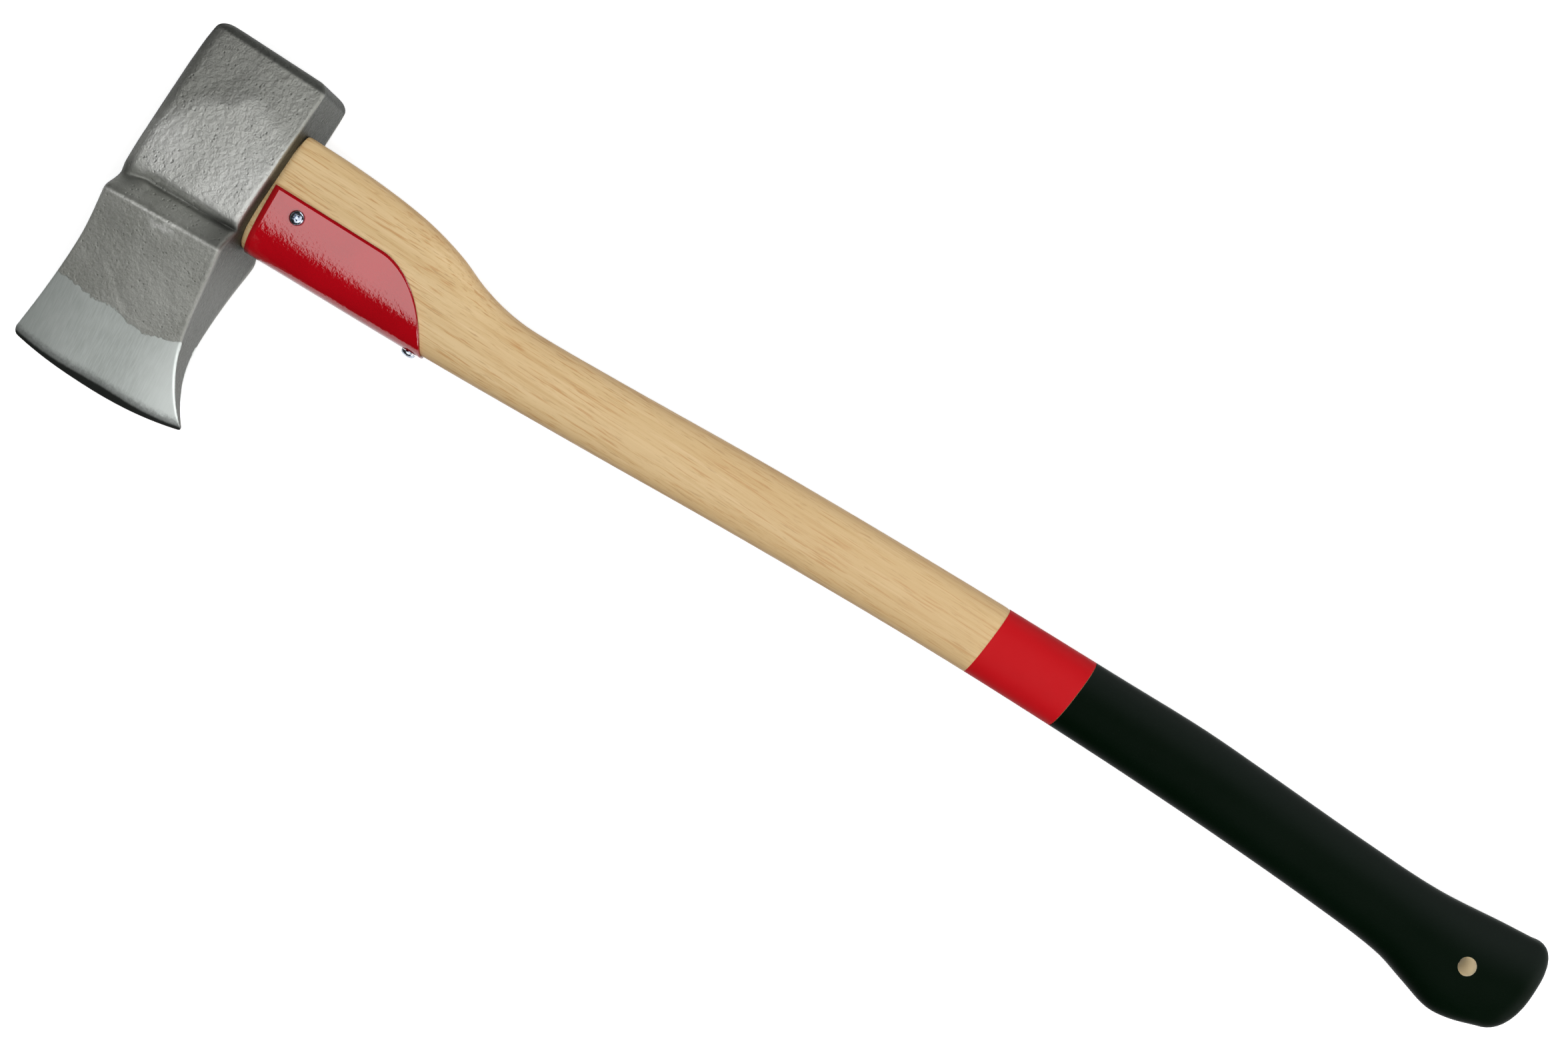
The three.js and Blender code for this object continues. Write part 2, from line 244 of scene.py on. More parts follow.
def finish_piece(piece, node, material):
    """Puts a piece made in the maul's frame in its place, with its coordinates kept for the material."""
    points = vertices_of(piece)
    attribute = piece.data.attributes.new("maul", "FLOAT_VECTOR", "POINT")
    attribute.data.foreach_set("vector", (points * MM).astype(np.float32).ravel())
    piece.data.transform(TO_FRAME @ Matrix.Diagonal((MM, MM, MM, 1)))
    piece.data.materials.clear()
    piece.data.materials.append(material)
    piece.data.update()
    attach(piece, BODY)
    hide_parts(node)


# ---------------- materials


class Nodes:
    """A short way to write a material's node tree."""

    def __init__(self, name):
        self.material = bpy.data.materials.new(name)
        self.material.use_nodes = True
        self.tree = self.material.node_tree
        self.tree.nodes.clear()
        self.shader = self.add("ShaderNodeBsdfPrincipled")
        output = self.add("ShaderNodeOutputMaterial")
        self.tree.links.new(self.shader.outputs[0], output.inputs[0])

    def add(self, kind, inputs=None, **settings):
        """A node with its inputs, by name or number, linked or set."""
        node = self.tree.nodes.new(kind)
        for key, value in settings.items():
            setattr(node, key, value)
        for key, value in (inputs or {}).items():
            self.put(node.inputs[key], value)
        return node

    def put(self, socket, value):
        """Links a socket to another, or sets its value."""
        if isinstance(value, bpy.types.NodeSocket):
            self.tree.links.new(value, socket)
        else:
            socket.default_value = value

    def set(self, name, value):
        self.put(self.shader.inputs[name], value)

    def place(self):
        """Position in the maul's own frame, in metres."""
        return self.add("ShaderNodeAttribute", attribute_name="maul").outputs["Vector"]

    def along(self):
        """Position along the handle, in metres from the eye's middle."""
        return self.add("ShaderNodeSeparateXYZ", {0: self.place()}).outputs[0]

    def attribute(self, name):
        return self.add("ShaderNodeAttribute", attribute_name=name).outputs["Fac"]

    def stretched(self, scale, shift=(0, 0, 0)):
        inputs = {"Vector": self.place(), "Scale": scale, "Location": shift}
        return self.add("ShaderNodeMapping", inputs).outputs[0]

    def noise(self, scale, detail, rough=0.55, vector=None, distortion=0.0):
        inputs = {"Vector": vector or self.place(), "Scale": scale, "Detail": detail}
        inputs.update({"Roughness": rough, "Distortion": distortion})
        return self.add("ShaderNodeTexNoise", inputs).outputs["Fac"]

    def cells(self, scale):
        inputs = {"Vector": self.place(), "Scale": scale}
        return self.add("ShaderNodeTexVoronoi", inputs, feature="F1").outputs["Distance"]

    def ramp(self, value, low, high, to_low=0.0, to_high=1.0):
        inputs = {"Value": value, "From Min": low, "From Max": high, "To Min": to_low, "To Max": to_high}
        return self.add("ShaderNodeMapRange", inputs, interpolation_type="SMOOTHSTEP").outputs[0]

    def math(self, operation, a, b):
        return self.add("ShaderNodeMath", {0: a, 1: b}, operation=operation).outputs[0]

    def times(self, a, b):
        return self.math("MULTIPLY", a, b)

    def plus(self, a, b):
        return self.math("ADD", a, b)

    def inverse(self, value):
        """1 for 0 and 0 for 1."""
        return self.math("SUBTRACT", 1.0, value)

    def swing(self, noise, height):
        """Noise shifted to vary about 0, and scaled."""
        return self.times(self.math("SUBTRACT", noise, 0.5), height)

    def mix(self, share, a, b):
        """Colour a going over to colour b."""
        a, b = (c if isinstance(c, bpy.types.NodeSocket) else (*c, 1) for c in (a, b))
        inputs = {"Factor": share, "A": a, "B": b}
        return self.add("ShaderNodeMix", inputs, data_type="RGBA").outputs["Result"]

    def bump(self, height, strength, distance, normal=None):
        inputs = {"Height": height, "Strength": strength, "Distance": distance}
        if normal is not None:
            inputs["Normal"] = normal
        return self.add("ShaderNodeBump", inputs).outputs[0]


# Tones of the hammer scale; pit, poll, flank and shade are painted shade, and rubbed and worn are partly
# painted highlights.
SCALE = {
    "deep": (0.245, 0.250, 0.222), "pale": (0.325, 0.330, 0.303), "grain": (0.42, 0.425, 0.395),
    "pit_shade": (0.085, 0.088, 0.076), "poll": (0.150, 0.153, 0.137), "rubbed_and_lit": (0.49, 0.495, 0.475),
    "step": (0.215, 0.222, 0.200), "shaded_flank": (0.034, 0.038, 0.031), "wear_and_highlight": (0.60, 0.605, 0.58),
    "shade": (0.030, 0.032, 0.028),
}
# Tones of the ground blade; the toe and low tones are painted shade, and the heel tone is painted light.
GROUND = {
    "dark": (0.43, 0.465, 0.44), "pale": (0.54, 0.58, 0.555), "cloud": (0.64, 0.68, 0.655),
    "toe_shade": (0.27, 0.29, 0.275), "heel": (0.78, 0.83, 0.80), "low": (0.12, 0.125, 0.12),
}
# Painted reflection: near black on the honed bevel, as it mirrors the dark surround.
BEVEL_PAINTED_REFLECTION = (0.014, 0.016, 0.014)


def scale_colour(n, fine, pits):
    """Grey scale: painted shade in its pits, on the poll, on the flanks and where the shade mask lies; darker
    on the step; paler where it is rubbed and worn and where highlights are painted.
    """
    colour = n.mix(n.ramp(n.noise(38, 4, 0.5), 0.3, 0.7), SCALE["deep"], SCALE["pale"])
    colour = n.mix(n.ramp(fine, 0.35, 0.7, 0.0, 0.5), colour, SCALE["grain"])
    # Painted shade in the pits of the scale.
    colour = n.mix(n.times(pits, 0.65), colour, SCALE["pit_shade"])
    # Painted shade on the poll and the flanks, a darker step, and paler where rubbed, which is partly painted
    # light.
    for name, share in (("poll", 0.66), ("rubbed_and_lit", 0.85), ("step", 0.5), ("shaded_flank", 1.0)):
        colour = n.mix(n.times(n.attribute(name), share), colour, SCALE[name])
    # Painted highlights on the lip of the groove and the crest of the ridge, and a worn scar.
    wear_and_highlight = n.times(n.attribute("wear_and_highlight"), n.ramp(fine, 0.3, 0.6, 0.3, 0.9))
    colour = n.mix(wear_and_highlight, colour, SCALE["wear_and_highlight"])
    # Painted shade on the rim, corners, groove and ends of the step.
    return n.mix(n.times(n.attribute("shade"), 0.85), colour, SCALE["shade"])


def ground_colour(n, brushed):
    """Ground steel with clouds, painted shade towards the toe, painted light towards the heel and painted
    shade in specks towards the bevel.
    """
    across = n.attribute("across")
    colour = n.mix(n.ramp(brushed, 0.3, 0.7), GROUND["dark"], GROUND["pale"])
    colour = n.mix(n.ramp(n.noise(48, 3, 0.5), 0.4, 0.7, 0.0, 0.4), colour, GROUND["cloud"])
    # Painted shade towards the toe and painted light towards the heel.
    colour = n.mix(n.ramp(across, 5, -42, 0.0, 0.55), colour, GROUND["toe_shade"])
    colour = n.mix(n.ramp(across, 10, 46, 0.0, 0.75), colour, GROUND["heel"])
    # Painted shade: darker towards the bevel, broken into specks by noise.
    specks = n.plus(n.attribute("bevel"), n.swing(n.noise(600, 4, 0.7), 5.0))
    return n.mix(n.ramp(specks, -5.0, 0.0, 0.0, 0.8), colour, GROUND["low"])


def forged_steel():
    """Hammer scale on the cheeks, a satin ground blade, a honed bevel painted near black as a painted
    reflection, and smoother flanks with painted shade.
    """
    n = Nodes("forged_steel")
    ragged = n.swing(n.noise(420, 4, 0.6), 2.6)
    ground = n.ramp(n.plus(n.attribute("ground"), ragged), -0.3, 0.5)
    bevel = n.ramp(n.plus(n.attribute("bevel"), n.times(ragged, 0.35)), -0.5, 0.9)
    fine = n.noise(900, 5, 0.65)
    # Pits of the scale, sunk by the bump and painted darker as shade.
    pits = n.ramp(n.cells(430), 0.02, 0.34, 1.0, 0.0)
    pits = n.times(pits, n.ramp(n.noise(130, 3), 0.42, 0.62))
    brushed = n.noise(1.0, 4, 0.6, n.stretched((1500, 90, 300)))

    colour = n.mix(ground, scale_colour(n, fine, pits), ground_colour(n, brushed))
    # Painted reflection: the honed bevel is painted near black.
    n.set("Base Color", n.mix(bevel, colour, BEVEL_PAINTED_REFLECTION))
    n.set("Metallic", n.ramp(n.attribute("blade"), 0, 1, 0.75, 0.35))
    rough = n.plus(n.ramp(fine, 0.3, 0.7, 0.40, 0.54), n.times(ground, -0.08))
    n.set("Roughness", n.plus(rough, n.times(n.attribute("shade"), 0.15)))

    # relief: grain and pits of the scale, calmer on flanks and step, and brushing where it is ground
    scaly = n.inverse(ground)
    calm = n.math("MAXIMUM", n.attribute("shaded_flank"), n.attribute("step"))
    grain = n.times(n.noise(480, 6, 0.62), n.times(scaly, n.inverse(n.times(calm, 0.6))))
    normal = n.bump(grain, 1.0, 0.00058)
    normal = n.bump(n.times(n.times(pits, scaly), -1.0), 0.6, 0.0004, normal)
    n.set("Normal", n.bump(n.times(brushed, ground), 0.12, 0.00012, normal))
    return n.material


# Wood tones; the edge tone is painted shade, and the tone of the hang hole's bore is painted light.
WOOD = {
    "band": (0.595, 0.420, 0.208), "pale_band": (0.650, 0.475, 0.250), "edge": (0.600, 0.385, 0.175),
    "line": (0.47, 0.270, 0.105), "pale_line": (0.76, 0.590, 0.350), "streak": (0.47, 0.240, 0.082),
    "pore": (0.36, 0.195, 0.075), "shank": (0.50, 0.335, 0.158), "bore_light": (0.95, 0.86, 0.66),
}


def hickory(name="hickory"):
    """Pale straight-grained wood: broad bands, fine lines, streaks and short dark pores, all along X, darker
    along the shank, with painted shade on the back and belly edges and painted light in the bore of the hang
    hole.
    """
    n = Nodes(name)
    wander = n.swing(n.noise(9, 2, 0.5, n.stretched((0.35, 1, 1))), 0.25)
    bands = n.noise(1.0, 3, 0.5, n.stretched((2.6, 75, 75)), 0.4)
    lines = n.noise(1.0, 4, 0.6, n.stretched((14, 680, 680)), 0.3)
    streaks = n.noise(1.0, 3, 0.6, n.stretched((38, 980, 980), (3, 1, 2)), 0.2)
    pores = n.noise(1.0, 3, 0.6, n.stretched((90, 1300, 1300)))
    colour = n.mix(n.ramp(n.plus(bands, wander), 0.36, 0.66), WOOD["band"], WOOD["pale_band"])
    # Painted shade: the back and belly edges of the handle are painted darker.
    colour = n.mix(n.times(n.attribute("edge"), 0.75), colour, WOOD["edge"])
    colour = n.mix(n.ramp(lines, 0.50, 0.68, 0.0, 0.38), colour, WOOD["line"])
    colour = n.mix(n.ramp(lines, 0.28, 0.46, 0.34, 0.0), colour, WOOD["pale_line"])
    colour = n.mix(n.ramp(streaks, 0.55, 0.66, 0.0, 0.70), colour, WOOD["streak"])
    colour = n.mix(n.ramp(pores, 0.56, 0.70, 0.0, 0.50), colour, WOOD["pore"])
    colour = n.mix(n.ramp(n.along(), 0.12, 0.42, 0.0, 0.42), colour, WOOD["shank"])
    # Painted light: the bore of the hang hole is painted pale.
    n.set("Base Color", n.mix(n.attribute("bore_light"), colour, WOOD["bore_light"]))
    n.set("Roughness", n.ramp(lines, 0.3, 0.7, 0.46, 0.60))
    n.set("Specular IOR Level", 0.3)
    normal = n.bump(lines, 0.12, 0.0002)
    n.set("Normal", n.bump(n.times(pores, -1.0), 0.10, 0.0002, normal))
    return n.material


def lacquer(name, base, rough, peel, shine, sheen):
    """Satin dip coat over wood, with faint runs along the handle and a soft skin."""
    n = Nodes(name)
    n.set("Base Color", base(n))
    n.set("Roughness", n.ramp(n.noise(160, 4, 0.6), 0.3, 0.7, rough - 0.04, rough + 0.04))
    n.set("Specular IOR Level", shine)
    n.set("Sheen Weight", sheen)
    n.set("Sheen Roughness", 0.35)
    skin = n.noise(620, 3, 0.5)
    runs = n.noise(1.0, 3, 0.5, n.stretched((14, 190, 190)))
    n.set("Normal", n.bump(runs, 0.08, 0.0004, n.bump(skin, peel, 0.00018)))
    return n.material


def coat_tone(n, colour, deeper):
    tone = n.noise(28, 4, 0.6, n.stretched((0.5, 1, 1)))
    return n.mix(n.ramp(tone, 0.35, 0.7), colour, deeper)


def red_coat(n):
    return coat_tone(n, (0.450, 0.0050, 0.0085), (0.415, 0.0045, 0.0075))


def black_coat(n):
    """Near black, with painted sheen towards the handle's back and a painted highlight along its back edge,
    and tiny pale specks.
    """
    base = coat_tone(n, (0.0007, 0.0036, 0.0012), (0.0014, 0.0045, 0.0020))
    # Painted sheen towards the back and a painted highlight stripe along the back edge.
    base = n.mix(n.attribute("painted_back_sheen"), base, (0.0092, 0.0125, 0.0106))
    base = n.mix(n.ramp(n.attribute("painted_back_sheen"), 1.0, 2.0), base, (0.026, 0.034, 0.028))
    specks = n.times(n.ramp(n.cells(900), 0.0, 0.16, 1.0, 0.0), n.ramp(n.noise(210, 2), 0.55, 0.66))
    return n.mix(n.times(specks, 0.7), base, (0.02, 0.026, 0.02))


def red_enamel():
    """Gloss powder coat over sheet steel, with orange peel and thicker paint on the edges, whose colour is
    painted darker as shade.
    """
    n = Nodes("red_enamel")
    rim = n.attribute("rim")
    base = n.mix(n.ramp(n.noise(35, 3, 0.5), 0.35, 0.7), (0.365, 0.0004, 0.0045), (0.41, 0.0006, 0.0055))
    # Painted shade: the sheet's edges are painted darker red.
    n.set("Base Color", n.mix(rim, base, (0.27, 0.0006, 0.003)))
    rough = n.ramp(n.noise(300, 3), 0.3, 0.7, 0.055, 0.085)
    n.set("Roughness", n.plus(rough, n.times(rim, 0.12)))
    n.set("Specular IOR Level", 0.85)
    waves = n.bump(n.noise(120, 2, 0.4), 0.10, 0.0006)
    peel = n.bump(n.noise(620, 3, 0.50), 0.42, 0.00022, waves)
    n.set("Normal", n.bump(n.inverse(rim), 1.0, 0.0006, peel))
    return n.material


def bright_metal(name, colour, dull, rough):
    """Plated or raw steel with faint clouds and handling marks."""
    n = Nodes(name)
    n.set("Base Color", n.mix(n.ramp(n.noise(420, 4, 0.6), 0.4, 0.72), colour, dull))
    n.set("Metallic", 1.0)
    n.set("Roughness", n.ramp(n.noise(800, 3), 0.3, 0.7, rough, rough + 0.14))
    n.set("Normal", n.bump(n.noise(1500, 3), 0.12, 0.0001))
    return n.material


def pale_floor():
    """White floor that glows a little near the maul and as bright as white farther out."""
    n = Nodes("pale_floor")
    n.set("Base Color", (0.94, 0.94, 0.94, 1))
    n.set("Emission Color", (1, 1, 1, 1))
    place = n.add("ShaderNodeTexCoord").outputs["Object"]
    away = n.add("ShaderNodeVectorMath", {0: place}, operation="LENGTH").outputs["Value"]
    n.set("Emission Strength", n.ramp(away, GLOW_FROM, GLOW_FULL, FLOOR_GLOW, 1.0))
    n.set("Roughness", 0.9)
    n.set("Specular IOR Level", 0.0)
    return n.material


# ---------------- head

EDGE_Y, POLL_Y = -129.2, 56.7
HEAD_TOP = curve_through([
    (57, -30.6), (40, -32.3), (10, -32.9), (-22, -32.6), (-34, -31.1), (-50, -30.9), (-72, -32.1),
    (-100, -36.2), (-129, -41.2),
])
HEAD_UNDER = curve_through([
    (57, 30.8), (9, 30.6), (-22, 30.3), (-40, 31.7), (-70, 33.2), (-88, 35.3), (-101, 39), (-116, 46.3),
    (-129, 54.6),
])
# Half thickness from the poll to the edge, and how far the outline draws in at the poll's rim.
HALF_THICKNESS = curve_through([
    (POLL_Y, 19.5), (56.45, 22.3), (55.9, 24.0), (55.0, 25.2), (53.8, 25.8), (52, 26), (20, 26.0),
    (-14, 26.1), (-20, 26.0), (-23.0, 25.6), (-25.0, 24.3), (-26.5, 23.4), (-28.6, 24.6), (-33, 28.6),
    (-37, 32.2), (-39.5, 33), (-42, 32), (-60, 24), (-75, 18.5), (-90, 13), (-102, 9), (-112, 6),
    (-119, 4), (-124.6, 2.2), (EDGE_Y, 0.3),
])
POLL_INSET = curve_through([
    (POLL_Y, 6.2), (56.2, 4.1), (55.2, 2.2), (53.6, 0.7), (51.5, 0), (40, 0), (EDGE_Y, 0),
])
BOW, BOW_CENTRE, BOW_REACH = 7.0, -1.0, 55.2  # the edge's ends lie this much nearer the poll
BOW_POWER, BOW_FROM = 2.3, -40.0
# How far each end of the edge draws in, and over what length.
TOE_ROUND, HEEL_ROUND = (3.4, 4.6), (1.8, 3.0)
RIDGE_Y, RIDGE_SLANT, RIDGE_REACH = -39.5, 0.066, 14.0
CROWN, CROWN_REACH = 0.05, 38.0  # how much thinner the blade is at its sides than in the middle
TOP_RADIUS = curve_through([(57, 6.2), (-20, 6.4), (-45, 2.2), (-70, 1.4), (-129, 1.2)])
UNDER_RADIUS = curve_through([
    (57, 1.6), (45, 1.0), (10, 1.2), (-10, 2.0), (-25, 2.6), (-36, 1.8), (-50, 1.2), (-129, 0.9),
])
POLL_FLAT, POLL_FLAT_X = (24.0, 19.5), -2.0  # half sizes and middle of the flat of the poll's face

BOSS_CENTRE, BOSS_RADIUS, BOSS_EDGE, BOSS_HEIGHT = (9.0, -4.0), 31.0, 9.5, 0.80
DOME_CENTRE, DOME_RISE, DOME_FALL, DOME_REACH = (12.0, -10.0), 0.8, 1.5, 50.0
# Near the top side the foot of the step lies nearer the edge, and is filled in.
VALLEY_Y, VALLEY_DROP, VALLEY_REACH = -27.0, 3.6, 6.0
FILL_HEIGHT, FILL_REACH = 1.3, 4.5
GROOVE = curve_through([
    (-31, -26.4), (-24.7, -26.6), (-13.5, -27.8), (1.3, -27.2), (13.3, -27.0), (31, -25.8),
])
GROOVE_WIDTH, GROOVE_DEPTH = 1.3, 1.15
LIP_OFF, LIP_WIDTH = 3.2, 1.7  # the lip beside the groove, painted bright as a highlight
GROUND_FROM = curve_through([
    (-42, -87.0), (-32, -88), (-21, -89), (-12, -89.4), (-3, -88.4), (8, -90.2), (16, -91), (22, -89.6),
    (33, -85.5), (42, -84),
])
# Dents in the cheeks and the blade: x, y, radius and depth.
DENTS = [
    (8.9, 18.7, 1.8, 0.35), (-12, 37, 9, 0.35), (10, 42, 8, 0.2), (-1, -44, 2.6, 0.45),
    (3, -46, 2.2, 0.5), (7, -44.5, 2.0, 0.3), (-5, -47, 3.0, 0.25), (-14, -58, 3.5, 0.25),
    (12, -60, 3.5, 0.2), (2, -84, 3.2, 0.45), (4.5, -86.5, 2.2, 0.3), (-22, -72, 6, 0.2), (20, -70, 5, 0.2),
]
SCRATCH = [(-25, -65), (-18, -68.5), (-11, -73.5), (-5, -78), (-1, -83)]
SCRATCH_WIDTH, SCRATCH_DEPTH = 0.9, 0.16

HEAD_STATIONS = 270
RIM_LENGTH, EDGE_LENGTH, STATION_GAP = 6.7, 4.6, 0.5  # along Y, where the stations lie closer
POLL_FACE_RINGS = (0.15, 0.35, 0.55, 0.75, 0.88, 0.95, 0.985)
SIDE_STEPS = 88  # points across a cheek
FLANK_STEPS = 34  # points down the top side or the underside
CORNER_STEPS = 7


def head_outline(low, high, half, low_radius, high_radius):
    """Points (x, z) round a rounded rectangle, anticlockwise from its high x side."""
    turns = np.linspace(0, math.pi / 2, CORNER_STEPS + 1)
    sides = ((high, 1, high_radius), (low, 1, low_radius), (low, -1, low_radius), (high, -1, high_radius))
    arcs = []
    for i, (x, up, radius) in enumerate(sides):
        angle = i * math.pi / 2 + turns
        cx = x - math.copysign(radius, x - (low + high) / 2)
        cz = up * (half - radius)
        arcs.append(np.column_stack([cx + radius * np.cos(angle), cz + radius * np.sin(angle)]))
    out = []
    for i, arc in enumerate(arcs):
        steps = SIDE_STEPS if i % 2 == 0 else FLANK_STEPS
        t = np.linspace(0, 1, steps + 1)[1:-1, None]
        out += [arc, arc[-1] + (arcs[(i + 1) % 4][0] - arc[-1]) * t]
    return np.concatenate(out)


def bend_of(x, y):
    """How far the outline at x, y is carried towards the poll by bow, ridge and valley."""
    bend = np.clip((BOW_FROM - y) / (BOW_FROM - EDGE_Y), 0, None)
    bow = BOW * bend**2 * (np.abs(x - BOW_CENTRE) / BOW_REACH) ** BOW_POWER
    slant = RIDGE_SLANT * x * bell((y - RIDGE_Y) / RIDGE_REACH)
    drop = VALLEY_DROP * smoothstep(-16, -30, x) * bell((y - VALLEY_Y) / VALLEY_REACH)
    return bow + slant - drop


def unbent(x, y):
    """The y that bend_of carried to y, found by repetition."""
    start = y
    for _ in range(8):
        start = y - bend_of(x, start)
    return start


def end_round(y, reach):
    """How far one end of the edge draws in at y."""
    depth, length = reach
    t = min(1.0, max(0.0, (EDGE_Y + length - y) / length))
    return depth * (1 - math.sqrt(1 - t * t))


def head_stations():
    rim = POLL_Y - RIM_LENGTH * (1 - np.cos(np.linspace(0, math.pi / 2, 20)))
    edge = EDGE_Y + EDGE_LENGTH * (1 - np.sin(np.linspace(0, math.pi / 2, 14)))
    middle = np.linspace(rim[-1] - STATION_GAP, edge[0] + STATION_GAP, HEAD_STATIONS)
    return np.concatenate([rim, middle, edge])


def head_ring(y):
    half = float(HALF_THICKNESS(y))
    inset = float(POLL_INSET(y))
    low = float(HEAD_TOP(y)) + inset + end_round(y, TOE_ROUND)
    high = float(HEAD_UNDER(y)) - inset - end_round(y, HEEL_ROUND)
    radii = [min(float(radius(y)), 0.45 * half) for radius in (TOP_RADIUS, UNDER_RADIUS)]
    x, z = head_outline(low, high, half, *radii).T
    return np.column_stack([x, y + bend_of(x, y), z])


def make_head():
    rings = [head_ring(y) for y in head_stations()]
    rim, middle = rings[0], rings[0].mean(0)
    face = [middle + (rim - middle) * share for share in POLL_FACE_RINGS]
    head = make_object("head_forging", *loft(face + rings))
    cut(head, eye_cutter())
    shape_head(head)
    shade(head, 50)
    finish_piece(head, "head", forged_steel())


class Spots:
    """For each vertex of the forging, before its relief: which face it is on and which marks it is near."""

    def __init__(self, p):
        self.x, self.y, self.z = x, y, z = p.T.copy()
        self.side = np.sign(z)
        self.straight = straight = unbent(x, y)
        self.depth = np.abs(z) / np.maximum(HALF_THICKNESS(straight), 0.5)
        self.on_cheek = smoothstep(0.80, 0.985, self.depth)
        self.on_flank = 1 - self.on_cheek
        self.behind_step = smoothstep(-26.5, -21.5, straight)
        self.step = smoothstep(-41, -37, straight) * (1 - smoothstep(-25, -19, straight))
        self.ground = GROUND_FROM(x) - y + 1.1 * self.cheek_noise(40, 4.0, 4, 2.0)
        uneven = 5.0 * self.cheek_noise(60, 24.0, 3, 21.0)
        self.from_boss = np.hypot(x - BOSS_CENTRE[0], y - BOSS_CENTRE[1]) + uneven
        self.boss = 1 - smoothstep(BOSS_RADIUS, BOSS_RADIUS + BOSS_EDGE, self.from_boss)
        self.from_groove = straight - GROOVE(x)
        self.groove_open = smoothstep(-27, -15, x)
        self.groove = bell(self.from_groove / GROOVE_WIDTH) * self.groove_open

    def cheek_noise(self, apart, scale, octaves, seed):
        """Noise that depends on x and y only, and differs between the two cheeks."""
        return fractal(np.column_stack([self.x, self.y, self.side * apart]), scale, octaves, seed)


def dents(at, marks):
    """How deep a set of dents is at each vertex."""
    near = [depth * bell((at.x - x) / radius, (at.y - y) / (0.7 * radius)) for x, y, radius, depth in marks]
    return sum(near)


def from_scratch(x, y):
    nearest = np.full(len(x), 99.0)
    for (ax, ay), (bx, by) in zip(SCRATCH[:-1], SCRATCH[1:]):
        dx, dy = bx - ax, by - ay
        t = np.clip(((x - ax) * dx + (y - ay) * dy) / (dx**2 + dy**2), 0, 1)
        nearest = np.minimum(nearest, np.hypot(x - ax - t * dx, y - ay - t * dy))
    return nearest


def cheek_relief(at, p):
    """How far each vertex is raised off its cheek: boss, dome, groove, lumps, pits, dents and a scratch."""
    x = at.x
    boss = BOSS_HEIGHT * (at.boss - 1) * (0.3 + 0.7 * smoothstep(-30, -6, x))
    from_dome = np.hypot((x - DOME_CENTRE[0]) * (0.6 + 0.4 * smoothstep(-30, 5, x)), at.y - DOME_CENTRE[1])
    dome = DOME_RISE - DOME_FALL * (from_dome / DOME_REACH) ** 2
    fill = FILL_HEIGHT * (1 - smoothstep(-27, -13, x)) * bell((at.straight - VALLEY_Y) / FILL_REACH)
    lift = (boss + dome) * at.behind_step - GROOVE_DEPTH * at.groove + fill
    lumps = 0.24 * fractal(p, 15, 3, 3.0)
    pitting = 0.085 * fractal(p, 2.6, 3, 8.0) * (1 - 0.55 * at.step)
    scaly = np.where(at.y > -60, 1.0, 1 - smoothstep(-1.0, 1.0, at.ground))
    lift = lift + (lumps + pitting) * scaly
    under = [(3 - 0.8 * dx, 0.95 * dy - 2, radius, depth) for dx, dy, radius, depth in DENTS[1:]]
    scratch = SCRATCH_DEPTH * bell(from_scratch(x, at.y) / SCRATCH_WIDTH)
    lift = lift - (dents(at, DENTS) + scratch) * (at.side > 0)
    return lift - dents(at, under) * (at.side < 0)


def shape_head(head):
    """Gives the forging its relief and stores the masks of its finishes."""
    p = vertices_of(head)
    at = Spots(p)
    edge_fade = smoothstep(EDGE_Y + 2, EDGE_Y + 14, at.y)
    crown = 1 - CROWN * (at.x / CROWN_REACH) ** 2 * edge_fade * smoothstep(-36, -60, at.y)
    p[:, 2] = at.z * crown + at.side * at.on_cheek * cheek_relief(at, p) * edge_fade
    waves = 0.10 * fractal(p, 16, 2, 5.0) + 0.05 * fractal(p, 3.0, 2, 6.0)
    p[:, 0] = at.x + np.sign(at.x) * at.on_flank * waves * (np.abs(at.x) > 20) * edge_fade
    head.data.vertices.foreach_set("co", p.ravel())
    head.data.update()
    mark_finishes(head, at)
    mark_shading(head, at)
    mark_wear_and_highlights(head, at, smoothstep(-0.25, 0.45, fractal(p, 6.0, 2, 12.0)))


def mark_finishes(head, at):
    """Where the blade is ground and honed, where the step and the blade lie, and painted shade over the poll.
    """
    mark(head, "ground", np.where(at.on_cheek > 0.02, at.ground, -3.0))
    mark(head, "bevel", bevel_distance(at.x, at.straight))
    mark(head, "across", at.x)
    mark(head, "step", at.step)
    on_blade = smoothstep(-37, -42, at.straight) * at.on_cheek
    mark(head, "blade", on_blade + smoothstep(-28, -75, at.straight) * at.on_flank)
    # Painted shade: the poll is painted darker, more towards its end and its top side.
    poll = smoothstep(BOSS_RADIUS - 4, BOSS_RADIUS + 9, at.from_boss)
    poll = poll * (0.35 + 0.65 * smoothstep(-12, 30, at.y))
    mark(head, "poll", poll * (1.35 - 0.75 * smoothstep(-28, 24, at.x)))


